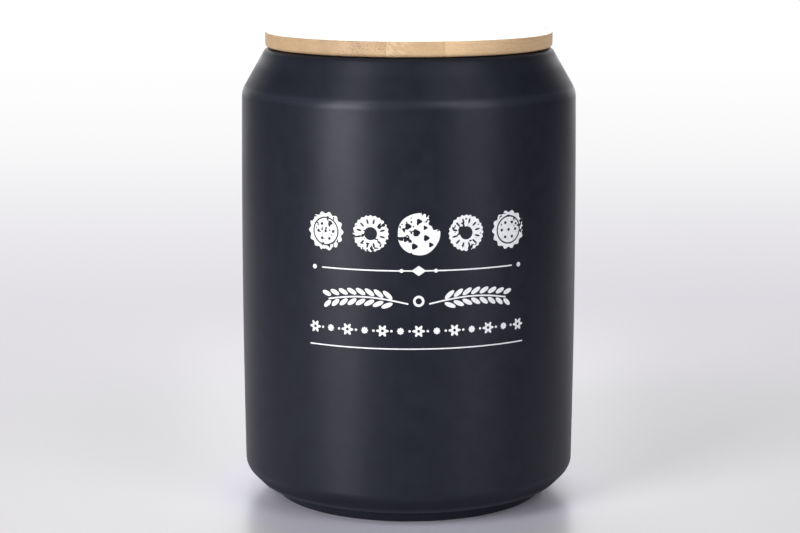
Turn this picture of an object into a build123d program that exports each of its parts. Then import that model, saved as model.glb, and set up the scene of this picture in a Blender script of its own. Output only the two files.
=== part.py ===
from build123d import *
import os

# Biscuit jar: a glazed ceramic casting with a small foot, a rounded heel, a wall that swells
# slightly, and a cone that closes in to a rolled rim. Its lid is a round bamboo panel on a
# bamboo plug, and a finned silicone ring in the plug's groove centres the lid in the mouth.
#
# Millimetres, +Z up. The origin is the centre of the jar on the surface it stands on.

# --- Jar, outside ---
jar_height = 194.3  # table to the top of the rim
belly_diameter = 145.0  # across the fullest part of the wall
wall_bow = 0.6  # how far the belly stands out beyond the ends of the wall
shoulder_drop = 18.25  # rim down to the corner between wall and cone
shoulder_round = 8.5
rim_width = 5.45  # top of the rim, from the mouth to the edge of the cone
rim_outer_round = 3.0
rim_inner_bevel = 1.2
heel_rise = 6.1  # slant between the lip and the wall, before it is rounded
heel_round = 7.0
lip_inset = 5.9  # lip of the underside, in from the end of the wall
lip_height = 6.1
lip_bevel = 0.5
foot_inset = 6.0  # root of the foot ring, in from the lip
foot_rise = 5.4  # table up to the root of the foot ring
foot_draft = 2.0  # how far the foot ring closes in towards the table
foot_width = 5.5  # the land that the jar stands on
foot_bevel = 0.6
base_recess = 3.0  # base above the table, inside the foot ring

# --- Jar, inside ---
mouth_diameter = 112.0
mouth_land = 6.0  # straight part of the mouth, below the rim
wall_thickness = 5.0
base_thickness = 6.0
inner_heel = 9.0  # slant between the floor and the inside of the wall

# --- Lid panel and plug ---
panel_thickness = 6.4
panel_overhang = 0.1  # panel's edge, out from the edge of the rim
panel_lower_bevel = 1.2
panel_upper_bevel = 0.4
panel_strips = 6
plug_height = 8.5
plug_bevel = 1.0
plug_clearance = 2.2  # plug's side to the mouth
plug_strips = 5
grain_turn = -28.4  # how far the panel's grain is turned from front to back, in degrees
seat_gap = 0.3  # panel's underside above the rim

# --- Sealing ring ---
seal_height = 5.0
seal_depth = 3.0
seal_drop = 1.6  # panel's underside down to the ring's groove
seal_slack = 0.1  # ring's inner wall to the bottom of the groove
fin_root = 1.4  # thickness where a fin leaves the ring
fin_tip = 0.7
fin_gap = 0.3  # fin's tip to the mouth

# --- Radii and heights that follow ---
belly_radius = belly_diameter / 2
wall_end_radius = belly_radius - wall_bow
lip_radius = wall_end_radius - lip_inset
foot_root_radius = lip_radius - foot_inset
foot_radius = foot_root_radius - foot_draft
foot_inner_radius = foot_radius - foot_width
mouth_radius = mouth_diameter / 2
rim_radius = mouth_radius + rim_width
inner_radius = wall_end_radius - wall_thickness

heel_height = lip_height + heel_rise
shoulder_height = jar_height - shoulder_drop
belly_height = (heel_height + shoulder_height) / 2
mouth_floor = jar_height - mouth_land
inner_floor = base_recess + base_thickness
inner_shoulder_height = shoulder_height - wall_thickness / 4

panel_base = jar_height + seat_gap
panel_top = panel_base + panel_thickness
panel_radius = rim_radius + panel_overhang
plug_base = panel_base - plug_height
plug_radius = mouth_radius - plug_clearance
groove_radius = plug_radius - seal_depth
seal_top = panel_base - seal_drop
seal_base = seal_top - seal_height
fin_radius = mouth_radius - fin_gap


def corner(sketch, radius, height):
    """The corner of a half section that lies nearest to a radius and a height."""
    return sketch.vertices().sort_by_distance((radius, height))[0]


# Jar. One half section, drawn up the outside and down the inside, is turned about the axis.
with BuildPart() as jar:
    with BuildSketch(Plane.XZ) as jar_section:
        with BuildLine():
            foot = Polyline(
                (foot_inner_radius, 0),
                (foot_radius, 0),
                (foot_root_radius, foot_rise),
                (lip_radius, lip_height),
                (wall_end_radius, heel_height),
            )
            wall = ThreePointArc(
                foot @ 1,
                (belly_radius, belly_height),
                (wall_end_radius, shoulder_height),
            )
            Polyline(
                wall @ 1,
                (rim_radius, jar_height),
                (mouth_radius, jar_height),
                (mouth_radius, mouth_floor),
                (inner_radius, inner_shoulder_height),
                (inner_radius, inner_floor + inner_heel),
                (inner_radius - inner_heel, inner_floor),
                (0, inner_floor),
                (0, base_recess),
                (foot_inner_radius, base_recess),
                foot @ 0,
            )
        make_face()
        chamfer(corner(jar_section, foot_inner_radius, 0), foot_bevel)
        chamfer(corner(jar_section, foot_radius, 0), foot_bevel)
        chamfer(corner(jar_section, lip_radius, lip_height), lip_bevel)
        chamfer(corner(jar_section, mouth_radius, jar_height), rim_inner_bevel)
        fillet(corner(jar_section, rim_radius, jar_height), rim_outer_round)
        fillet(corner(jar_section, wall_end_radius, shoulder_height), shoulder_round)
        fillet(corner(jar_section, wall_end_radius, heel_height), heel_round)
    revolve(axis=Axis.Z)


# Panel. A flat disc, crisp at the top edge and well eased at the lower one.
with BuildPart() as panel_disc:
    with BuildSketch(Plane.XZ) as panel_section:
        with BuildLine():
            Polyline(
                (0, panel_base),
                (panel_radius, panel_base),
                (panel_radius, panel_top),
                (0, panel_top),
                close=True,
            )
        make_face()
        chamfer(corner(panel_section, panel_radius, panel_base), panel_lower_bevel)
        chamfer(corner(panel_section, panel_radius, panel_top), panel_upper_bevel)
    revolve(axis=Axis.Z)


# Plug. A smaller disc under the panel, with a groove turned in its side for the ring.
with BuildPart() as plug_disc:
    with BuildSketch(Plane.XZ) as plug_section:
        with BuildLine():
            Polyline(
                (0, plug_base),
                (plug_radius - plug_bevel, plug_base),
                (plug_radius, plug_base + plug_bevel),
                (plug_radius, seal_base),
                (groove_radius, seal_base),
                (groove_radius, seal_top),
                (plug_radius, seal_top),
                (plug_radius, panel_base),
                (0, panel_base),
                close=True,
            )
        make_face()
    revolve(axis=Axis.Z)


# Sealing ring. A band as deep as the groove, with a fin along its top edge and one along
# its lower edge, which taper towards the mouth.
with BuildPart() as seal_ring:
    with BuildSketch(Plane.XZ) as seal_section:
        with BuildLine():
            Polyline(
                (groove_radius + seal_slack, seal_base),
                (plug_radius, seal_base),
                (fin_radius, seal_base + fin_root - fin_tip),
                (fin_radius, seal_base + fin_root),
                (plug_radius, seal_base + fin_root),
                (plug_radius, seal_top - fin_root),
                (fin_radius, seal_top - fin_tip),
                (fin_radius, seal_top),
                (groove_radius + seal_slack, seal_top),
                close=True,
            )
        make_face()
    revolve(axis=Axis.Z)


def cut_strips(board, name, base, top, radius, count, grain):
    """Saw a turned board along its glue lines into strips of equal width.

    The strips run along the Y axis when grain is 0, and turn about Z with it.
    """
    width = 2 * radius / count
    strips = []
    for number in range(count):
        offset = (number + 0.5) * width - radius
        with BuildPart() as strip:
            add(board)
            with BuildSketch(Plane.XY.offset(base).rotated((0, 0, grain))):
                with Locations((offset, 0)):
                    Rectangle(width, 2 * radius)
            extrude(amount=top - base, mode=Mode.INTERSECT)
        strip.part.label = f"{name}_{number + 1}"
        strips.append(strip.part)
    return strips


# The panel's strips run from front to back, turned a little. The plug's lie across them,
# so that the two boards keep each other flat.
panel = cut_strips(
    panel_disc.part, "panel_strip", panel_base, panel_top, panel_radius, panel_strips, grain_turn
)
plug = cut_strips(
    plug_disc.part, "plug_strip", plug_base, panel_base, plug_radius, plug_strips, grain_turn + 90
)

jar.part.label = "jar"
seal_ring.part.label = "seal_ring"

os.makedirs("parts", exist_ok=True)
for piece in [jar.part, seal_ring.part, *panel, *plug]:
    export_step(piece, f"parts/{piece.label}.step")
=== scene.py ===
import bpy
import numpy as np
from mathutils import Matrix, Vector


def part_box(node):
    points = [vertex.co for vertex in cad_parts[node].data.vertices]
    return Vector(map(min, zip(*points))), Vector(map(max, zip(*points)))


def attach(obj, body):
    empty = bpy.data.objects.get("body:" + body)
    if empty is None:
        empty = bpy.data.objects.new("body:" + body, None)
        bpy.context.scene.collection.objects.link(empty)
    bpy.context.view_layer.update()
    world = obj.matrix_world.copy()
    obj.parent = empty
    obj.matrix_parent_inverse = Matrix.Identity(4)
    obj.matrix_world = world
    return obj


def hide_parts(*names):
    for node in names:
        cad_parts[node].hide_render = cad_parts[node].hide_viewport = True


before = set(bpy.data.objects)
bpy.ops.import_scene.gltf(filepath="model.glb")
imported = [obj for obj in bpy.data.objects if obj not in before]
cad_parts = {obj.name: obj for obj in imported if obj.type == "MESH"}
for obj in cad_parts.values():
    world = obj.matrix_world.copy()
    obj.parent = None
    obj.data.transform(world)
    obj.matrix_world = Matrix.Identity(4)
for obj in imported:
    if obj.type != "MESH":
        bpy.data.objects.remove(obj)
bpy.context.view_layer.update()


# --- Jar -----------------------------------------------------------------------------------
# A slip-cast ceramic jar, fettled smooth and dipped whole in a dark satin glaze. Only the
# narrow land of its foot is wiped bare, so that it doesn't stick to the kiln shelf.

def box_mm(node):
    """The lowest and highest corner of a node of the frame, in millimetres."""
    return np.round(1000 * np.array(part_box(node)), 3)


def rounded_section(corners, loop=False, arc_step=np.radians(7.5), length_step=5.0):
    """Points and outward normals along a half section with rounded corners, in millimetres.

    A corner is (radius, height, round). An arc of that round replaces it, tangent to both
    sides: it starts round * tan(turn / 2) before the corner, and each of its points is the
    centre plus the round times the normal, turned by an equal share of the whole turn. A
    share is at most arc_step of turn and about length_step of arc. The solid lies to the
    left of the path. An open path keeps its two ends as they are.
    """
    corners = np.array(corners, float)
    spots, rounds = corners[:, :2], corners[:, 2]
    ahead = np.roll(spots, -1, axis=0) - spots
    ahead /= np.linalg.norm(ahead, axis=1, keepdims=True)
    behind = np.roll(ahead, 1, axis=0)
    to_right = np.array([[0, -1], [1, 0]])  # (x, y) becomes (y, -x)
    points, normals = [], []
    if not loop:
        points.append(spots[:1])
        normals.append(ahead[:1] @ to_right)
    inner = range(len(spots)) if loop else range(1, len(spots) - 1)
    for at in inner:
        before, after = behind[at], ahead[at]
        turn = np.arctan2(before[0] * after[1] - before[1] * after[0], before @ after)
        start = spots[at] - before * rounds[at] * np.tan(abs(turn) / 2)
        shares = max(abs(turn) / arc_step, abs(turn) * rounds[at] / length_step, 2)
        swing = np.linspace(0, turn, int(np.ceil(shares)) + 1)
        right = before @ to_right
        normal = np.outer(np.cos(swing), right) + np.outer(np.sin(swing), before)
        centre = start - np.sign(turn) * rounds[at] * right
        points.append(centre + np.sign(turn) * rounds[at] * normal)
        normals.append(normal)
    if not loop:
        points.append(spots[-1:])
        normals.append(ahead[-2:-1] @ to_right)
    return np.concatenate(points), np.concatenate(normals)


def add_piece(name, places, faces, normals, material):
    """A smooth mesh at the origin from places in millimetres, with a normal for every point.

    faces is a list of arrays, each with one face in a row. Places that no face uses are
    left out, and the rest are numbered anew.
    """
    faces = [np.asarray(rows) for rows in faces]
    used = np.unique(np.concatenate([rows.ravel() for rows in faces]))
    renumber = np.zeros(len(places), int)
    renumber[used] = np.arange(len(used))
    faces = [face for rows in faces for face in renumber[rows].tolist()]
    mesh = bpy.data.meshes.new(name)
    mesh.from_pydata((places[used] / 1000).tolist(), [], faces)
    mesh.polygons.foreach_set("use_smooth", np.ones(len(mesh.polygons), bool))
    mesh.normals_split_custom_set_from_vertices(normals[used].tolist())
    mesh.materials.append(material)
    piece = bpy.data.objects.new(name, mesh)
    bpy.context.scene.collection.objects.link(piece)
    return piece


def turned_piece(name, section, around, material, loop=False):
    """A section turned about the axis: x = r cos a, y = r sin a, z = h.

    An open section starts and ends on the axis, and its first and last ring close in one
    point each. A looped section joins its last ring to its first.
    """
    points, normals = section
    angle = np.linspace(0, 2 * np.pi, around, endpoint=False)

    def turned(across, up):
        return np.stack([across * np.cos(angle), across * np.sin(angle), up + 0 * angle], axis=-1)

    places = turned(points[:, :1], points[:, 1:])
    facing = turned(normals[:, :1], normals[:, 1:])
    number = np.arange(len(points) * around).reshape(len(points), around)
    beside = np.roll(number, -1, axis=1)
    if loop:
        above, above_beside = np.roll(number, -1, axis=0), np.roll(beside, -1, axis=0)
        faces = [np.stack([number, beside, above_beside, above], axis=-1).reshape(-1, 4)]
    else:
        ring, ring_beside = number[1:-1], beside[1:-1]
        sides = [ring[:-1], ring_beside[:-1], ring_beside[1:], ring[1:]]
        low = [number[0] * 0 + number[0, 0], ring_beside[0], ring[0]]
        high = [ring[-1], ring_beside[-1], number[-1] * 0 + number[-1, 0]]
        faces = [
            np.stack(sides, axis=-1).reshape(-1, 4),
            np.stack(low, axis=-1),
            np.stack(high, axis=-1),
        ]
    return add_piece(name, places.reshape(-1, 3), faces, facing.reshape(-1, 3), material)


def plain_material(name, **finish):
    """A material whose Principled shader has its own sockets set to the finish."""
    material = bpy.data.materials.new(name)
    material.use_nodes = True
    shader = material.node_tree.nodes["Principled BSDF"]
    for socket, value in finish.items():
        shader.inputs[socket.replace("_", " ")].default_value = value
    return material


def add_node(material, kind, inputs=(), **settings):
    """One node. Each input is a constant or another node's output; returns the node."""
    node = material.node_tree.nodes.new("ShaderNode" + kind)
    for setting, value in settings.items():
        setattr(node, setting, value)
    for socket, value in dict(inputs).items():
        if isinstance(value, bpy.types.NodeSocket):
            material.node_tree.links.new(value, node.inputs[socket])
        else:
            node.inputs[socket].default_value = value
    return node


def math(material, operation, first, second=0.0):
    """The output of one Math node."""
    return add_node(material, "Math", {0: first, 1: second}, operation=operation).outputs[0]


def plus(material, first, second):
    """first + second"""
    return math(material, "ADD", first, second)


def minus(material, first, second):
    """first - second"""
    return math(material, "SUBTRACT", first, second)


def times(material, first, *factors):
    """The product of all the factors."""
    for factor in factors:
        first = math(material, "MULTIPLY", first, factor)
    return first


def fade(material, value, start, end, low=0.0, high=1.0):
    """A smooth step: low up to start, high from end on."""
    inputs = {"Value": value, "From Min": start, "From Max": end, "To Min": low, "To Max": high}
    node = add_node(material, "MapRange", inputs, interpolation_type="SMOOTHSTEP")
    return node.outputs["Result"]


def band(material, height, starts, full, thins, ends):
    """A level band, heights in millimetres: a rising smooth step times a falling one."""
    rising = fade(material, height, starts / 1000, full / 1000)
    falling = fade(material, height, thins / 1000, ends / 1000, 1.0, 0.0)
    return times(material, rising, falling)


def blend_colours(material, share, first, second):
    """The first colour where share is 0, the second where it is 1, and a mix between."""
    inputs = {0: share, 6: first, 7: second}
    return add_node(material, "Mix", inputs, data_type="RGBA").outputs[2]


def noise(material, where, scale, detail=2.0):
    """Smooth noise about 0.5, with scale lumps to a unit of where."""
    inputs = {"Vector": where, "Scale": scale, "Detail": detail}
    return add_node(material, "TexNoise", inputs).outputs[0]


def bumps(material, relief, strength, distance):
    """The normal that a relief gives, with its full height as distance, in metres."""
    inputs = {"Height": relief, "Strength": strength, "Distance": distance}
    return add_node(material, "Bump", inputs).outputs["Normal"]


def connect(material, **links):
    """Joins outputs to the shader's sockets of those names."""
    shader = material.node_tree.nodes["Principled BSDF"]
    for socket, output in links.items():
        material.node_tree.links.new(output, shader.inputs[socket.replace("_", " ")])


GLAZE_DARK, GLAZE_LIGHT = (0.0112, 0.0125, 0.0200, 1), (0.0134, 0.0150, 0.0240, 1)
# of the next two colours, the paler is a painted highlight and the darker is painted shade
GLAZE_PAINTED_HIGHLIGHT, GLAZE_PAINTED_SHADE = (0.0230, 0.0250, 0.0370, 1), (0.0040, 0.0045, 0.0115, 1)
BARE_CLAY, CLAY_SPECK = (0.62, 0.56, 0.48, 1), (0.47, 0.40, 0.32, 1)
CLAY_DULLER = 0.45  # roughness of the bare clay, over that of the glaze
PEEL_DEPTH, WIPED_WAVE = 0.00003, 0.0002  # in metres
# the heights where a band starts, is full, starts to thin out, and ends: painted shade and
# duller glaze under the heel, painted highlight and smoother glaze at the shoulder and neck
HEEL_SHADE_BAND = (6.6, 8.8, 9.5, 14.0)
SHOULDER_HIGHLIGHT_BAND, NECK_HIGHLIGHT_BAND = (173.8, 176.2, 177.4, 179.2), (185.5, 189.0, 190.0, 193.0)

glaze = plain_material(
    "satin_glaze", Specular_IOR_Level=0.22, Specular_Tint=(0.93, 0.93, 1.0, 1)
)
spot = add_node(glaze, "TexCoord").outputs["Object"]
height = add_node(glaze, "SeparateXYZ", {0: spot}).outputs["Z"]
mottle = noise(glaze, spot, 160, 4)
pooling = noise(glaze, spot, 28)
peel = noise(glaze, spot, 900)
colour = blend_colours(glaze, fade(glaze, mottle, 0.35, 0.65), GLAZE_DARK, GLAZE_LIGHT)
satin = fade(glaze, pooling, 0.3, 0.7, 0.365, 0.395)
# over the corner of the shoulder the glaze lies smoother, and a paler colour there is a painted
# highlight
shoulder = band(glaze, height, *SHOULDER_HIGHLIGHT_BAND)
colour = blend_colours(glaze, times(glaze, shoulder, 0.9), colour, GLAZE_PAINTED_HIGHLIGHT)
satin = minus(glaze, satin, times(glaze, shoulder, 0.08))
# and again, though less, where the cone nears the rim: smoother glaze and a painted highlight
neck = band(glaze, height, *NECK_HIGHLIGHT_BAND)
colour = blend_colours(glaze, times(glaze, neck, 0.3), colour, GLAZE_PAINTED_HIGHLIGHT)
satin = minus(glaze, satin, times(glaze, neck, 0.07))
# under the heel, down to the edge of the lip, the glaze is duller, and its darker colour there is
# painted shade
heel_shade = band(glaze, height, *HEEL_SHADE_BAND)
colour = blend_colours(glaze, heel_shade, colour, GLAZE_PAINTED_SHADE)
satin = plus(glaze, satin, times(glaze, heel_shade, 0.2))
# the land of the foot is wiped bare, along a slightly wavy edge
wiped_edge = times(glaze, noise(glaze, spot, 300, 3), WIPED_WAVE)
glazed = fade(glaze, minus(glaze, height, wiped_edge), -0.00005, 0.0001)
clay = blend_colours(glaze, fade(glaze, peel, 0.35, 0.6), BARE_CLAY, CLAY_SPECK)
connect(
    glaze,
    Base_Color=blend_colours(glaze, glazed, clay, colour),
    Roughness=plus(glaze, satin, fade(glaze, glazed, 0, 1, CLAY_DULLER, 0.0)),
    Normal=bumps(glaze, peel, 0.25, PEEL_DEPTH),
)

# radii and heights; the outside lies up to 0.1 mm within the frame's solid
BASE_UNDER, INNER_FLOOR = 3.0, 9.0
FOOT_INNER, FOOT_OUTER = 52.5, 58.0
FOOT_ROOT, FOOT_RISE = 60.0, 5.4
LIP, LIP_HEIGHT = 66.0, 6.1
WALL_END, HEEL, SHOULDER = 71.8, 12.2, 176.05
WALL_CROWN, WALL_ROUND = 72.891, 5533  # the corner at mid-height, and the long arc in its place
RIM, RIM_HEIGHT, MOUTH = 61.4, box_mm("jar")[1, 2] - 0.05, 56.05
INNER_WALL, INNER_SHOULDER, MOUTH_FLOOR = 66.9, 174.8, 188.3

jar_section = rounded_section(
    [
        (0, BASE_UNDER, 0),
        (FOOT_INNER, BASE_UNDER, 1.5),
        (FOOT_INNER, 0, 0.8),
        (FOOT_OUTER, 0, 0.8),
        (FOOT_ROOT, FOOT_RISE, 1.2),
        (LIP, LIP_HEIGHT, 1.0),
        (WALL_END, HEEL, 7.0),
        (WALL_CROWN, (HEEL + SHOULDER) / 2, WALL_ROUND),
        (WALL_END, SHOULDER, 8.5),
        (RIM, RIM_HEIGHT, 3.0),
        (MOUTH, RIM_HEIGHT, 1.5),
        (MOUTH, MOUTH_FLOOR, 2.5),
        (INNER_WALL, INNER_SHOULDER, 9.0),
        (INNER_WALL, INNER_FLOOR, 15.0),
        (0, INNER_FLOOR, 0),
    ]
)
jar = turned_piece("glazed_jar", jar_section, 256, glaze)
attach(jar, "jar")
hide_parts("jar")


# --- Print on the front --------------------------------------------------------------------
# A one-colour screen print in off-white enamel, fired on: biscuits, crumbs and ears of wheat.
# Each line of the print is a film 0.04 mm proud of the glaze, and the top one is worn.

ENAMEL_THIN, ENAMEL_FULL = (0.80, 0.80, 0.84, 1), (0.90, 0.90, 0.94, 1)
enamel = plain_material("print_enamel", Roughness=0.5, Specular_IOR_Level=0.3)
spot = add_node(enamel, "TexCoord").outputs["Object"]
cover = fade(enamel, noise(enamel, spot, 700, 3), 0.3, 0.7)
connect(enamel, Base_Color=blend_colours(enamel, cover, ENAMEL_THIN, ENAMEL_FULL))

PRINT_MIDDLE, PRINT_REACH = 3.8, 49.0  # across the front, from the middle of the jar
FILM_OUT, FILM_IN = 0.04, -0.06  # the film's front and back, from the wall
MESH_STEP = 0.2  # the fineness of the screen
WALL_LOW, WALL_HIGH = 20, 165  # the stretch of wall that takes the print, clear of its rounds
BISCUIT_LINE, RULE_LINE, WHEAT_LINE, CRUMB_LINE, FINE_LINE = 124.5, 109.5, 97.0, 84.6, 77.2


def wrapped_print(name, ink, bottom, top):
    """Lays the film of ink wherever ink(across, up) is above zero, in millimetres.

    The field is sampled on a grid. In each cell the film takes in the corners with ink and
    the points where the field crosses zero on the cell's sides, found in proportion but no
    nearer to a corner than a twentieth of the side. Then across is bent round the wall:
    x = R sin(across / R), y = -R cos(across / R), z = up, with R the wall's radius at that
    height. A front, a back and an edge close the film.
    """
    across, up = np.meshgrid(
        np.arange(PRINT_MIDDLE - PRINT_REACH, PRINT_MIDDLE + PRINT_REACH, MESH_STEP),
        np.arange(bottom, top, MESH_STEP),
    )
    field = ink(across, up)
    total = field.size
    number = np.arange(total).reshape(field.shape)
    # the crossings on the cells' level sides are numbered after the corners, and those on
    # their upright sides come last
    on_level, on_upright = number[:, :-1] + total, number[:-1] + 2 * total

    def crossing(start, stop):
        """The share of a side from start to stop at which the field is zero."""
        drop = start - stop
        return np.clip(start / np.where(drop == 0, 1, drop), 0.05, 0.95)

    flat = np.zeros((3 * total, 2))
    flat[:total] = np.stack([across, up], axis=-1).reshape(-1, 2)
    flat[on_level, 0] = across[:, :-1] + MESH_STEP * crossing(field[:, :-1], field[:, 1:])
    flat[on_level, 1] = up[:, :-1]
    flat[on_upright, 0] = across[:-1]
    flat[on_upright, 1] = up[:-1] + MESH_STEP * crossing(field[:-1], field[1:])

    # corner, side, corner, side ... once round each cell, against the clock
    ways = np.stack(
        [
            number[:-1, :-1], on_level[:-1], number[:-1, 1:], on_upright[:, 1:],
            number[1:, 1:], on_level[1:], number[1:, :-1], on_upright[:, :-1],
        ],
        axis=-1,
    ).reshape(-1, 8)
    wet = field > 0
    code = wet[:-1, :-1] + 2 * wet[:-1, 1:] + 4 * wet[1:, 1:] + 8 * wet[1:, :-1]
    fronts, edges = [], []
    for case in range(1, 16):
        inked = [bool(case >> corner & 1) for corner in range(4)]
        keep = []
        for corner in range(4):
            if inked[corner]:
                keep.append(2 * corner)
            if inked[corner] != inked[(corner + 1) % 4]:
                keep.append(2 * corner + 1)
        cells = ways[code.reshape(-1) == case]
        fronts.append(cells[:, keep])
        for first, second in zip(keep, keep[1:] + keep[:1]):
            if first % 2 and second % 2:
                edges.append(cells[:, [second, first]])
    behind = 3 * total
    backs = [front[:, ::-1] + behind for front in fronts]
    edge = np.concatenate(edges)
    edge = np.concatenate([edge, edge[:, ::-1] + behind], axis=1)

    points, facing = jar_section
    wall = (facing[:, 0] > 0.9) & (points[:, 1] > WALL_LOW) & (points[:, 1] < WALL_HIGH)
    radius = np.interp(flat[:, 1], points[wall, 1], points[wall, 0])
    turn = flat[:, 0] / radius
    outward = np.stack([np.sin(turn), -np.cos(turn), 0 * turn], axis=-1)
    rise = [0, 0, 1] * flat[:, 1:]
    places = np.concatenate(
        [outward * (radius + depth)[:, None] + rise for depth in (FILM_OUT, FILM_IN)]
    )
    normals = np.concatenate([outward, -outward])
    line = add_piece(name, places, fronts + backs + [edge], normals, enamel)
    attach(line, "jar")


def disc(across, up, centre, radius):
    """A disc: its radius less the distance from its centre."""
    return radius - np.hypot(across - centre[0], up - centre[1])


def scalloped(across, up, centre, radius, lobes, depth):
    """A disc whose radius rises and falls round it: radius + depth cos(lobes * angle)."""
    away = np.hypot(across - centre[0], up - centre[1])
    angle = np.arctan2(up - centre[1], across - centre[0])
    return radius + depth * np.cos(lobes * angle) - away


def oval(across, up, centre, long, short, lean):
    """An ellipse that leans from level: short (1 - hypot(along / long, beside / short))."""
    right, rise = across - centre[0], up - centre[1]
    along = right * np.cos(lean) + rise * np.sin(lean)
    beside = rise * np.cos(lean) - right * np.sin(lean)
    return short * (1 - np.hypot(along / long, beside / short))


def bar(across, up, centre, half_long, half_high):
    """A level bar: the lesser of the depths inside its sides."""
    sideways, upright = np.abs(across - centre[0]), np.abs(up - centre[1])
    return np.minimum(half_long - sideways, half_high - upright)


def without(shape, *holes):
    """A shape less its holes: the least of its own depth and the distances from the holes."""
    for hole in holes:
        shape = np.minimum(shape, -hole)
    return shape


def speckle(across, up, cell, seed):
    """Smooth noise from 0 to 1: seeded values on a lattice, blended by 3t^2 - 2t^3."""
    lattice = np.random.default_rng(seed).random((200, 200))
    # counted from a corner that lies well below and to the left of the print
    column, row = (across + 200) / cell, (up + 20) / cell
    left, low = np.floor(column).astype(int), np.floor(row).astype(int)
    right_share, high_share = column - left, row - low
    right_share = right_share ** 2 * (3 - 2 * right_share)
    high_share = high_share ** 2 * (3 - 2 * high_share)
    left, low = left % 199, low % 199
    lower = lattice[low, left] * (1 - right_share) + lattice[low, left + 1] * right_share
    upper = lattice[low + 1, left] * (1 - right_share) + lattice[low + 1, left + 1] * right_share
    return lower * (1 - high_share) + upper * high_share


def from_centre(centre, distance, angle):
    """The spot that far from a centre: (x + d cos a, y + d sin a)."""
    return centre[0] + distance * np.cos(angle), centre[1] + distance * np.sin(angle)


def pricked_biscuit(across, up, centre):
    """A scalloped disc with a line pressed round it, and seven holes pricked in the middle."""
    biscuit = scalloped(across, up, centre, 7.6, 14, 0.45)
    pressed = 0.3 - np.abs(disc(across, up, centre, 5.6))
    biscuit = without(biscuit, pressed, disc(across, up, centre, 0.62))
    for angle in np.arange(6) * np.pi / 3:
        hole = disc(across, up, from_centre(centre, 3.4, angle), 0.62)
        biscuit = without(biscuit, hole)
    return biscuit


def ring_biscuit(across, up, centre):
    """A ring with a finely crimped edge and twelve nicks that point to its middle."""
    biscuit = scalloped(across, up, centre, 7.3, 24, 0.22)
    biscuit = without(biscuit, disc(across, up, centre, 2.7))
    for angle in (np.arange(12) + 0.5) * np.pi / 6:
        nick = oval(across, up, from_centre(centre, 5.0, angle), 1.15, 0.4, angle)
        biscuit = without(biscuit, nick)
    return biscuit


# each chip's place, right of and above the biscuit's middle, and its size
CHIPS = (
    (-4.4, 3.2, 1.25), (0.2, 5.2, 1.0), (-1.0, 0.6, 1.4), (-5.2, -2.0, 1.1),
    (-1.8, -5.0, 1.2), (3.0, -1.6, 1.15), (4.9, -4.4, 0.9), (2.6, 2.6, 0.8),
)


def bitten_biscuit(across, up, centre):
    """A large uneven disc with a bite out of its upper right, and three-cornered chips."""
    bite = (centre[0] + 8.2, centre[1] + 5.6)
    biscuit = scalloped(across, up, centre, 8.6, 5, 0.12)
    biscuit = without(biscuit, scalloped(across, up, bite, 4.2, 9, 0.35))
    for right, rise, size in CHIPS:
        chip = (centre[0] + right, centre[1] + rise)
        biscuit = without(biscuit, scalloped(across, up, chip, size, 3, 0.2))
    return biscuit


def biscuits(across, up):
    """Five biscuits in a row, with the ink worn off where fine and broad speckle are high."""
    ink = np.full(across.shape, -1.0)
    spacing, most_worn = 19.6, 0.735
    kinds = (pricked_biscuit, ring_biscuit, bitten_biscuit, ring_biscuit, pricked_biscuit)
    for place, biscuit in enumerate(kinds):
        centre = (PRINT_MIDDLE + spacing * (place - 2), BISCUIT_LINE)
        ink = np.maximum(ink, biscuit(across, up, centre))
    worn = 0.62 * speckle(across, up, 0.9, 3) + 0.38 * speckle(across, up, 4.5, 5)
    return np.minimum(ink, 4.0 * (most_worn - worn))


def rule_with_lozenge(across, up):
    """A thin line that thickens to a lozenge in the middle, with a dot at each end."""
    ink = bar(across, up, (PRINT_MIDDLE, RULE_LINE), 41.0, 0.28)
    lozenge = 2.1 - 0.7 * np.abs(across - PRINT_MIDDLE) - np.abs(up - RULE_LINE)
    ink = np.maximum(ink, lozenge)
    for end in (-1, 1):
        ink = np.maximum(ink, disc(across, up, (PRINT_MIDDLE + 44.5 * end, RULE_LINE), 0.95))
        ink = np.maximum(ink, disc(across, up, (PRINT_MIDDLE + 7.0 * end, RULE_LINE), 0.8))
    return ink


def wheat_ears(across, up):
    """Two ears that bow outwards from a round grain. Grains stand in pairs along a stem."""
    bow, starts, length = 2.6, 4, 38

    def stem(away):
        """Its height, WHEAT_LINE + bow sin(pi (away - starts) / length) - 1.2, and its slope."""
        wave = (away - starts) / length * np.pi
        slope = np.arctan(bow * np.pi / length * np.cos(wave))
        return WHEAT_LINE + bow * np.sin(wave) - 1.2, slope

    middle = (PRINT_MIDDLE, WHEAT_LINE)
    ink = without(disc(across, up, middle, 2.3), disc(across, up, middle, 1.3))
    for side in (-1, 1):
        away = (across - PRINT_MIDDLE) * side
        ends = np.minimum(away - 4.2, length - away)
        ink = np.maximum(ink, np.minimum(0.32 - np.abs(up - stem(away)[0]), ends))
        for grain in range(8):
            out = 11.5 + 3.7 * grain
            height, slope = stem(out)
            for half in (-1, 1):
                lean = slope + half * 0.55
                centre = (PRINT_MIDDLE + side * (out + 1.5 * np.cos(lean)), height + 2.15 * half)
                long = 2.45 - 0.06 * grain
                ink = np.maximum(ink, oval(across, up, centre, long, 0.95, side * lean))
    return ink


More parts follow.
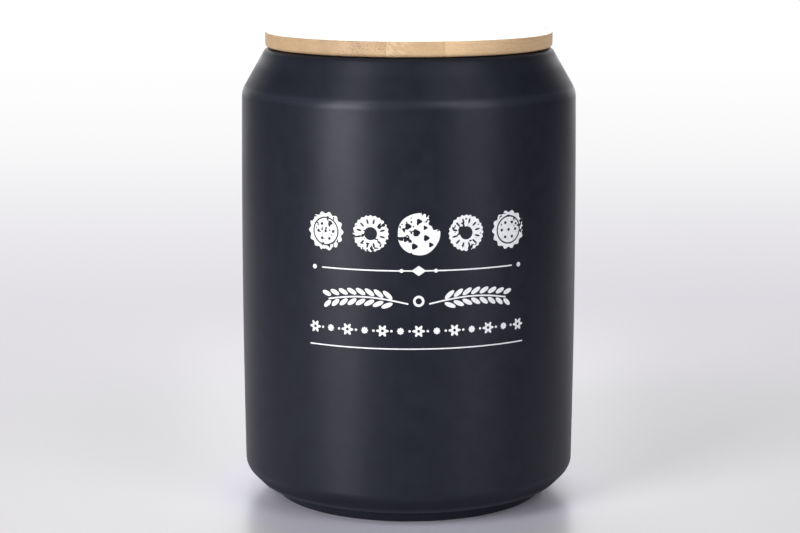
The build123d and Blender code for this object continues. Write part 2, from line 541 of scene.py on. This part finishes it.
def crumbs(across, up):
    """A row of six-petalled flowers and round crumbs with dots between, over a fine line."""
    ink = bar(across, up, (PRINT_MIDDLE, FINE_LINE), 47.0, 0.26)
    spacing = 7.4
    for place in range(-6, 7):
        centre = (PRINT_MIDDLE + spacing * place, CRUMB_LINE)
        if place % 2 == 0:
            crumb = scalloped(across, up, centre, 2.0, 6, 0.6)
            crumb = without(crumb, disc(across, up, centre, 0.6))
        else:
            crumb = scalloped(across, up, centre, 1.3, 8, 0.18)
        ink = np.maximum(ink, crumb)
        if place < 6:
            dot = (centre[0] + spacing / 2, CRUMB_LINE)
            ink = np.maximum(ink, disc(across, up, dot, 0.52))
    return ink


wrapped_print("print_biscuits", biscuits, 114.5, 134.5)
wrapped_print("print_rule", rule_with_lozenge, 106.5, 112.5)
wrapped_print("print_wheat", wheat_ears, 90.5, 103.5)
wrapped_print("print_crumbs", crumbs, 76.0, 88.5)


# --- Lid panel -----------------------------------------------------------------------------
# Six flat-pressed bamboo strips, glued edge to edge and turned to a disc. The fibres run
# along each strip, so they end at the front left and lie lengthwise at the right.

def board_strip(section, left, right, turn, steps=24):
    """The part of a turned board between two straight cuts, left and right of its middle.

    At each height the disc's edge is a circle of radius r. A point of the strip's own edge
    is (r sin q, -r cos q) in front and (r sin q, r cos q) at the back, with q in equal
    shares from asin(left / r) to asin(right / r). At the disc's side the two meet. All is
    then turned about Z. Returns the places and normals, one row for each q.
    """
    points, normals = section
    # once round the section: up the front, then down the back
    radius, height = np.concatenate([points, points[::-1]]).T
    out, lift = np.concatenate([normals, normals[::-1]]).T
    side = np.repeat([-1.0, 1.0], len(points))
    start = np.arcsin(np.clip(left / radius, -1, 1))
    end = np.arcsin(np.clip(right / radius, -1, 1))
    q = start + (end - start) * np.linspace(0, 1, steps + 1)[:, None]

    def turned(across, up):
        x, y = across * np.sin(q), side * across * np.cos(q)
        return np.stack(
            [x * np.cos(turn) - y * np.sin(turn), x * np.sin(turn) + y * np.cos(turn), up + 0 * q],
            axis=-1,
        )

    return turned(radius, height), turned(out, lift)


def cut_board(name, section, width, turn, material, replaced, strips, half_glue=0.03):
    """Strips of equal width from a turned board, numbered from left to right.

    strips holds (tone, fibre, streak, knuckle) for each: how brown it is, which on the lid's
    panel is partly painted light, how plainly its fibre bundles show, how strongly its figure
    slants, and where along it, in metres from its middle, a knuckle of the cane crosses it.
    Half a glue line is left at each cut.
    """
    disc_edge = section[0][:, 0].max()
    for strip, looks in enumerate(strips):
        first, last = strip == 0, strip == len(strips) - 1
        left = (strip - len(strips) / 2) * width + half_glue
        right = (strip + 1 - len(strips) / 2) * width - half_glue
        places, facing = board_strip(
            section, -disc_edge if first else left, disc_edge if last else right, turn
        )
        rows, ring = places.shape[:2]
        number = np.arange(rows * ring).reshape(rows, ring)
        # where the strip ends in the disc's own side, front and back are one line
        half = ring // 2
        if first:
            number[0, half:] = number[0, :half][::-1]
        if last:
            number[-1, half:] = number[-1, :half][::-1]
        after = np.roll(number, -1, axis=1)
        sides = np.stack([number[:-1], number[1:], after[1:], after[:-1]], axis=-1).reshape(-1, 4)
        start_met, end_met = sides[:, 0] == sides[:, 3], sides[:, 1] == sides[:, 2]
        faces = [
            sides[~start_met & ~end_met], sides[start_met][:, :3], sides[end_met][:, [0, 1, 3]]
        ]
        if not first:
            faces.append(number[:1])
        if not last:
            faces.append(number[-1:, ::-1])
        piece = add_piece(
            f"{name}_{strip + 1}", places.reshape(-1, 3), faces, facing.reshape(-1, 3), material
        )
        for quality, amount in zip(("tone", "fibre", "streak", "knuckle"), looks):
            attribute = piece.data.attributes.new(quality, "FLOAT", "POINT")
            attribute.data.foreach_set("value", np.full(len(piece.data.vertices), amount))
        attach(piece, "lid")
        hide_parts(f"{replaced}_{strip + 1}")


def scaled(material, where, scale):
    """A place with each coordinate multiplied by its own factor."""
    return add_node(material, "VectorMath", {0: where, 1: scale}, operation="MULTIPLY").outputs[0]


CANE_LIGHT, CANE_BROWN = (0.84, 0.58, 0.335, 1), (0.42, 0.28, 0.157, 1)
CANE_DARK, BUNDLE_DARK = (0.27, 0.145, 0.06, 1), (0.16, 0.06, 0.02, 1)
STREAK_PALE = (0.74, 0.57, 0.36, 1)
KNUCKLE_FULL, KNUCKLE_ENDS = 0.0006, 0.0026  # from its middle, in metres
GLUE_FULL, GLUE_ENDS = 0.02, 0.16  # from the cut, in millimetres
SLANT_COSINE, SLANT_SINE = 0.83, 0.55  # of the angle at which the figure slants
SLANT_FINE, SLANT_LONG = 1600, 260  # lumps of noise to a metre, across its streaks and along
SKIN_STARTS, SKIN_FULL = 0.1955, 0.1998  # heights, in metres, over which the bundles crowd
CANE_LAYERS = (70, 25, 1700)  # lumps of noise to a metre, across, along and up
CANE_RELIEF = 0.00004  # in metres


def bamboo(name, turn, width, count, seed):
    """Lacquered bamboo whose fibres run along Y, after the board's turn is taken back.

    The strip's number, from how far across a point lies, seeds its place in the pattern,
    and attributes of the piece give its tone and how plainly its figure shows. Fibres are
    long thin cells: dots on end grain and streaks along the grain.
    """
    material = plain_material(name, Specular_IOR_Level=0.45)
    here = add_node(material, "TexCoord").outputs["Object"]
    inputs = {"Vector": here, "Rotation": (0, 0, -turn)}
    grain = add_node(material, "Mapping", inputs).outputs[0]
    x, y, z = add_node(material, "SeparateXYZ", {0: grain}).outputs
    across = plus(material, math(material, "DIVIDE", x, width / 1000), count / 2)
    strip = math(material, "FLOOR", across)
    within = math(material, "FRACT", across)
    seeded = {"W": plus(material, strip, seed)}
    chance = add_node(material, "TexWhiteNoise", seeded, noise_dimensions="1D").outputs["Color"]
    shift = scaled(material, chance, (3.0, 3.0, 3.0))
    moved = add_node(material, "VectorMath", {0: grain, 1: shift}, operation="ADD").outputs[0]
    tone, shown, slant, knuckle_at = (
        add_node(material, "Attribute", attribute_name=quality).outputs["Fac"]
        for quality in ("tone", "fibre", "streak", "knuckle")
    )
    facing = add_node(material, "NewGeometry").outputs["Normal"]
    upright = add_node(material, "SeparateXYZ", {0: facing}).outputs["Z"]
    flat_face = math(material, "ABSOLUTE", upright)

    def stretched(across_size, along_size):
        """The place in a pattern of that size across and along the grain, in millimetres."""
        scale = (1000 / across_size, 1000 / along_size, 1000 / across_size)
        return scaled(material, moved, scale)

    # bundles: each point's distance from the middle of its cell, made ragged by a fine noise
    fine = noise(material, stretched(0.35, 30), 1.0, 3)
    cells = {"Vector": stretched(1.0, 90), "Scale": 1.0, "Randomness": 0.9}
    bundles = add_node(material, "TexVoronoi", cells).outputs["Distance"]
    ragged = plus(material, bundles, fade(material, fine, 0.2, 0.8, -0.09, 0.09))
    patchy = noise(material, stretched(3.5, 90), 1.0, 1)
    # they stand closest near the cane's skin, which lies upwards, and hide on the flats
    skin = fade(material, z, SKIN_STARTS, SKIN_FULL, 0.45, 1.0)
    fibre = times(material, fade(material, ragged, 0.2, 0.40, 1.0, 0.0), shown, skin)
    fibre = times(material, fibre, fade(material, flat_face, 0.7, 0.95, 1.0, 0.3))
    fibre = times(material, fibre, fade(material, patchy, 0.35, 0.55, 0.45, 1.0))

    # the cane's layers, which lie level in a flat-pressed strip
    layers = noise(material, scaled(material, moved, CANE_LAYERS), 1.0, 1)

    # knuckle: a band across the strip, at its own place along it
    wander = times(material, noise(material, stretched(5.0, 5.0), 1.0, 1), 0.003)
    off_knuckle = minus(material, plus(material, y, wander), knuckle_at)
    from_knuckle = math(material, "ABSOLUTE", off_knuckle)
    knuckle = fade(material, from_knuckle, KNUCKLE_FULL, KNUCKLE_ENDS, 1.0, 0.0)

    # glue lines, at every cut but not at the board's own two ends
    side = math(material, "MINIMUM", within, minus(material, 1.0, within))
    last_cut = (count / 2 - 0.5) * width / 1000
    joined = math(material, "LESS_THAN", math(material, "ABSOLUTE", x), last_cut)
    line = fade(material, side, GLUE_FULL / width, GLUE_ENDS / width, 1.0, 0.0)
    glue = times(material, joined, line)

    # slanting figure: long thin streaks that fall from left to right through the thickness
    beside = plus(material, times(material, x, SLANT_SINE), times(material, z, SLANT_COSINE))
    along = minus(material, times(material, x, SLANT_COSINE), times(material, z, SLANT_SINE))
    slanted = {0: times(material, beside, SLANT_FINE), 1: times(material, along, SLANT_LONG)}
    lines = noise(material, add_node(material, "CombineXYZ", slanted).outputs[0], 1.0, 1)
    streak = times(material, fade(material, lines, 0.48, 0.62), slant)
    streak = times(material, streak, fade(material, within, 0.65, 0.2))

    broad = noise(material, stretched(7.0, 90), 1.0)
    shade = plus(material, tone, fade(material, broad, 0.0, 1.0, -0.25, 0.25))
    colour = blend_colours(material, shade, CANE_LIGHT, CANE_BROWN)
    for share, stain in (
        (fade(material, fine, 0.35, 0.7, 0.0, 0.25), CANE_BROWN),
        (fade(material, layers, 0.45, 0.65, 0.0, 0.22), CANE_BROWN),
        (times(material, fibre, 0.85), BUNDLE_DARK),
        (times(material, streak, 0.55), STREAK_PALE),
        (times(material, knuckle, 0.45), CANE_DARK),
        (times(material, glue, 0.25), CANE_DARK),
    ):
        colour = blend_colours(material, share, colour, stain)
    # the lacquer lies smooth on the planed flats and sinks into the turned side
    lacquer = fade(material, flat_face, 0.7, 0.95, 0.50, 0.20)
    relief = minus(material, fine, times(material, fibre, 0.6))
    connect(
        material,
        Base_Color=colour,
        Roughness=plus(material, lacquer, fade(material, fine, 0.2, 0.8, 0.0, 0.1)),
        Normal=bumps(material, relief, 0.3, CANE_RELIEF),
    )
    return material


GRAIN_TURN = np.radians(-28.4)
PANEL_UNDER, PANEL_TOP = box_mm("panel_strip_3")[:, 2]
PANEL_RADIUS = 61.55
# the tones are partly the bamboo's own and partly painted light: the right strip is lighter and
# those to its left browner, where the lamps light the lid's edge less and more
PANEL_STRIPS = [
    (0.70, 0.2, 0, 0.012), (0.76, 0.2, 0, -0.021), (0.86, 0.3, 0, 0.034),
    (0.80, 1.0, 0, -0.004), (0.57, 0.2, 1, 0.019), (0.12, 0.2, 0, 0.038),
]
panel_section = rounded_section(
    [
        (0, PANEL_UNDER, 0),
        (PANEL_RADIUS, PANEL_UNDER, 1.7),
        (PANEL_RADIUS, PANEL_TOP, 0.6),
        (0, PANEL_TOP, 0),
    ]
)
# the flats are the strips' own ends, so the section starts and stops at its rounds
panel_edge = [part[1:-1] for part in panel_section]
panel_width = 2 * PANEL_RADIUS / len(PANEL_STRIPS)
panel_bamboo = bamboo("panel_bamboo", GRAIN_TURN, panel_width, len(PANEL_STRIPS), 11.0)
cut_board(
    "panel_board", panel_edge, panel_width, GRAIN_TURN, panel_bamboo, "panel_strip", PANEL_STRIPS
)


# --- Lid plug ------------------------------------------------------------------------------
# Five strips laid across the panel's and glued under it, so that the lid stays flat. A
# groove is turned in its side for the sealing ring.

PLUG_UNDER = box_mm("plug_strip_3")[0, 2]
PLUG_RADIUS, GROOVE_RADIUS = 53.8, 50.8
SEAL_LOW, SEAL_HIGH = box_mm("seal_ring")[:, 2]
PLUG_STRIPS = [
    (0.6, 0.6, 0, 0.010), (0.4, 0.5, 0, -0.024), (0.8, 0.8, 0, 0.030),
    (0.5, 0.5, 0.5, -0.008), (0.7, 0.7, 0, 0.014),
]
plug_section = rounded_section(
    [
        (0, PLUG_UNDER, 0),
        (PLUG_RADIUS, PLUG_UNDER, 1.2),
        (PLUG_RADIUS, SEAL_LOW, 0.15),
        (GROOVE_RADIUS, SEAL_LOW, 0.15),
        (GROOVE_RADIUS, SEAL_HIGH, 0.15),
        (PLUG_RADIUS, SEAL_HIGH, 0.15),
        (PLUG_RADIUS, PANEL_UNDER, 0.1),
        (0, PANEL_UNDER, 0),
    ],
    arc_step=np.radians(15),
)
plug_edge = [part[1:-1] for part in plug_section]
plug_width = 2 * PLUG_RADIUS / len(PLUG_STRIPS)
plug_turn = GRAIN_TURN + np.pi / 2
plug_bamboo = bamboo("plug_bamboo", plug_turn, plug_width, len(PLUG_STRIPS), 31.0)
cut_board("plug_board", plug_edge, plug_width, plug_turn, plug_bamboo, "plug_strip", PLUG_STRIPS)


# --- Sealing ring --------------------------------------------------------------------------
# Moulded milky silicone, stretched into the plug's groove. Two fins run round it, and they
# bend against the mouth to hold the lid and keep the air out.

MILKY, CLOUDY = (0.78, 0.78, 0.76, 1), (0.86, 0.86, 0.84, 1)
silicone = plain_material(
    "milky_silicone", Roughness=0.45, Subsurface_Weight=0.35, Subsurface_Scale=0.002,
    Subsurface_Radius=(1.0, 1.0, 1.0),
)
spot = add_node(silicone, "TexCoord").outputs["Object"]
cloud = fade(silicone, noise(silicone, spot, 120, 3), 0.3, 0.7)
connect(
    silicone,
    Base_Color=blend_colours(silicone, cloud, MILKY, CLOUDY),
    Normal=bumps(silicone, noise(silicone, spot, 1500), 0.2, 0.00002),
)

SEAL_BACK, FIN_REACH = GROOVE_RADIUS + 0.1, box_mm("seal_ring")[1, 0]
FIN_ROOT, FIN_TIP = 1.4, 0.7
seal_section = rounded_section(
    [
        (SEAL_BACK, SEAL_LOW, 0.3),
        (PLUG_RADIUS, SEAL_LOW, 2.0),
        (FIN_REACH, SEAL_LOW + FIN_ROOT - FIN_TIP, 0.3),
        (FIN_REACH, SEAL_LOW + FIN_ROOT, 0.3),
        (PLUG_RADIUS, SEAL_LOW + FIN_ROOT, 0.4),
        (PLUG_RADIUS, SEAL_HIGH - FIN_ROOT, 0.4),
        (FIN_REACH, SEAL_HIGH - FIN_TIP, 0.3),
        (FIN_REACH, SEAL_HIGH, 0.3),
        (SEAL_BACK, SEAL_HIGH, 0.3),
    ],
    loop=True,
    arc_step=np.radians(20),
)
seal = turned_piece("finned_seal", seal_section, 192, silicone, loop=True)
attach(seal, "lid")
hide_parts("seal_ring")


# --- Table, lights and camera --------------------------------------------------------------
# A seamless sheet of pale paper lies on the table and sweeps up behind. Two rows of three
# soft boxes stand round the jar, low and high: one at the left, one at the right and a wide
# one behind. Another hangs overhead, and a small one behind lights the lid.

PAPER_NEAR, PAPER_PAINTED_DIM = (0.66, 0.645, 0.675, 1), (0.48, 0.47, 0.49, 1)
PAPER_PAINTED_BOUNCE = (0.655, 0.645, 0.75, 1)
SHEET_PAINTED_LEFT, SHEET_PAINTED_RIGHT = (0.76, 0.74, 0.785, 1), (0.72, 0.70, 0.745, 1)
SHEET_WHITE = (1, 1, 1, 1)
SWEEP_BACK, SWEEP_TOP, SWEEP_ROUND, SHEET_END = 1550, 1800, 450, 3000

# distances in the paper's material are in metres from the jar's axis
paper = plain_material("pale_paper", Roughness=0.33, Specular_IOR_Level=0.5)
spot = add_node(paper, "TexCoord").outputs["Object"]
aside, behind, above = add_node(paper, "SeparateXYZ", {0: spot}).outputs
from_jar = add_node(paper, "VectorMath", {0: spot}, operation="LENGTH").outputs["Value"]
# away from the jar, except behind it, the paper is painted darker: painted shade for the lamps'
# light that falls off
painted_falloff = fade(paper, from_jar, 0.26, 0.62)
painted_falloff = times(paper, painted_falloff, fade(paper, behind, 0.2, 0.6, 1.0, 0.0))
colour = blend_colours(paper, painted_falloff, PAPER_NEAR, PAPER_PAINTED_DIM)
# close to its foot, the paper is painted with a blue cast: painted light reflected onto it from
# the glaze
colour = blend_colours(paper, fade(paper, from_jar, 0.074, 0.098), PAPER_PAINTED_BOUNCE, colour)
connect(paper, Base_Color=colour)
# behind the jar the sheet glows with painted light for camera, mirror and transmission rays,
# whatever light falls on it there: greyer low down and at the right, white up the sweep
ray = add_node(paper, "LightPath").outputs
mirrored = math(paper, "MAXIMUM", ray["Is Glossy Ray"], ray["Is Transmission Ray"])
seen = math(paper, "MAXIMUM", ray["Is Camera Ray"], mirrored)
middle = fade(paper, math(paper, "ABSOLUTE", aside), 0.45, 0.7, 1.0, 0.0)
even = times(paper, fade(paper, behind, 0.0, 0.5), middle, seen)
up_sheet = {"Value": plus(paper, behind, above), "From Min": 0.42, "From Max": 1.42}
whiter = add_node(paper, "MapRange", up_sheet).outputs["Result"]
# and far from the jar it does so all round
afar = times(paper, fade(paper, from_jar, 0.25, 0.8), ray["Is Camera Ray"])
even = math(paper, "MAXIMUM", even, afar)
whiter = math(paper, "MAXIMUM", whiter, fade(paper, from_jar, 0.7, 2.0))
# painted light: the glow is greyer near the table and darker at the right, and whiter up the sweep
# and far off
painted_grey = blend_colours(paper, fade(paper, aside, -0.1, 0.25), SHEET_PAINTED_LEFT, SHEET_PAINTED_RIGHT)
glow = {"Color": blend_colours(paper, whiter, painted_grey, SHEET_WHITE), "Strength": 1.0}
lit = paper.node_tree.nodes["Principled BSDF"].outputs[0]
painted_glow = add_node(paper, "Emission", glow).outputs[0]
surface = add_node(paper, "MixShader", {0: even, 1: lit, 2: painted_glow}).outputs[0]
paper.node_tree.links.new(surface, paper.node_tree.nodes["Material Output"].inputs["Surface"])

# the sheet's section, in millimetres behind the axis and up, is drawn out to both sides
sweep_points, sweep_normals = rounded_section(
    [(SWEEP_BACK, SWEEP_TOP, 0), (SWEEP_BACK, 0, SWEEP_ROUND), (-SHEET_END, 0, 0)],
    arc_step=np.radians(3),
)
sweep_sides = np.tile([-SHEET_END, SHEET_END], len(sweep_points))
sweep_places = np.column_stack([sweep_sides, np.repeat(sweep_points, 2, axis=0)])
sweep_facing = np.column_stack([0 * sweep_sides, np.repeat(sweep_normals, 2, axis=0)])
corner = 2 * np.arange(len(sweep_points) - 1)
sweep_faces = [np.stack([corner + 1, corner, corner + 2, corner + 3], axis=-1)]
table = add_piece("pale_table", sweep_places, sweep_faces, sweep_facing, paper)


def soft_box(name, place, target, width, tall, strength):
    """An area lamp whose face gives off that radiance: power = radiance * area * pi.

    It leans from straight down by atan2(level distance, height) towards its target.
    """
    light = bpy.data.lights.new(name, "AREA")
    light.shape = "RECTANGLE"
    light.size, light.size_y = width, tall
    light.energy = strength * width * tall * np.pi
    lamp = bpy.data.objects.new(name, light)
    bpy.context.scene.collection.objects.link(lamp)
    lamp.visible_camera = False
    x, y, rise = np.array(place, float) - np.array(target, float)
    lamp.location = place
    lamp.rotation_euler = (np.arctan2(np.hypot(x, y), rise), 0, np.arctan2(x, -y))


BOX_DISTANCE = 1.1
LOWER_RISE, LOWER_AIM, LOWER_TALL = 0.32, 0.32, 0.60
UPPER_RISE, UPPER_AIM, UPPER_TALL = 0.95, 0.50, 0.66
# for each box its bearing from the front in degrees, its width in metres and its strength
LOWER_ROW = ((-44, 0.50, 10.1), (44, 0.50, 3.0), (180, 1.80, 0.7))
UPPER_ROW = ((-44, 0.50, 5.3), (40, 0.82, 2.8), (180, 1.80, 0.4))
for row, rise, aim, tall, boxes in (
    ("low", LOWER_RISE, LOWER_AIM, LOWER_TALL, LOWER_ROW),
    ("high", UPPER_RISE, UPPER_AIM, UPPER_TALL, UPPER_ROW),
):
    for number, (bearing, width, strength) in enumerate(boxes):
        x = BOX_DISTANCE * np.sin(np.radians(bearing))
        y = -BOX_DISTANCE * np.cos(np.radians(bearing))
        soft_box(f"{row}_box_{number + 1}", (x, y, rise), (0, 0, aim), width, tall, strength)
# one overhead, behind the jar and a little left, which draws its shadow towards the camera
soft_box("overhead_box", (-0.10, 1.1, 1.4), (-0.06, 0.7, 0), 0.65, 1.5, 2.7)
# a small one behind, just before the wide ones, which the flat of the lid mirrors
soft_box("lid_box", (0, 1.05, 0.30), (0, 0, 0.30), 0.40, 0.34, 0.9)

# the room is dim, but past the edge of the paper the camera sees it white
ROOM_LIGHT, ROOM_SEEN = 0.06, 1.0
world = bpy.data.worlds.new("room")
bpy.context.scene.world = world
world.use_nodes = True
room = world.node_tree.nodes["Background"].inputs
room["Color"].default_value = (1, 1, 1, 1)
camera_ray = add_node(world, "LightPath").outputs["Is Camera Ray"]
brightness = fade(world, camera_ray, 0, 1, ROOM_LIGHT, ROOM_SEEN)
world.node_tree.links.new(brightness, room["Strength"])

CAMERA_PLACE, CAMERA_DOWN, CAMERA_LENS = (-0.0038, -0.9386, 0.26667), 10.166, 98.11
camera = bpy.data.cameras.new("camera")
camera.sensor_width = 36
camera.lens = CAMERA_LENS
camera.clip_start = 0.01
viewer = bpy.data.objects.new("camera", camera)
bpy.context.scene.collection.objects.link(viewer)
viewer.location = CAMERA_PLACE
viewer.rotation_euler = (np.radians(90 - CAMERA_DOWN), 0, 0)
bpy.context.scene.camera = viewer
bpy.context.scene.view_settings.view_transform = "Standard"
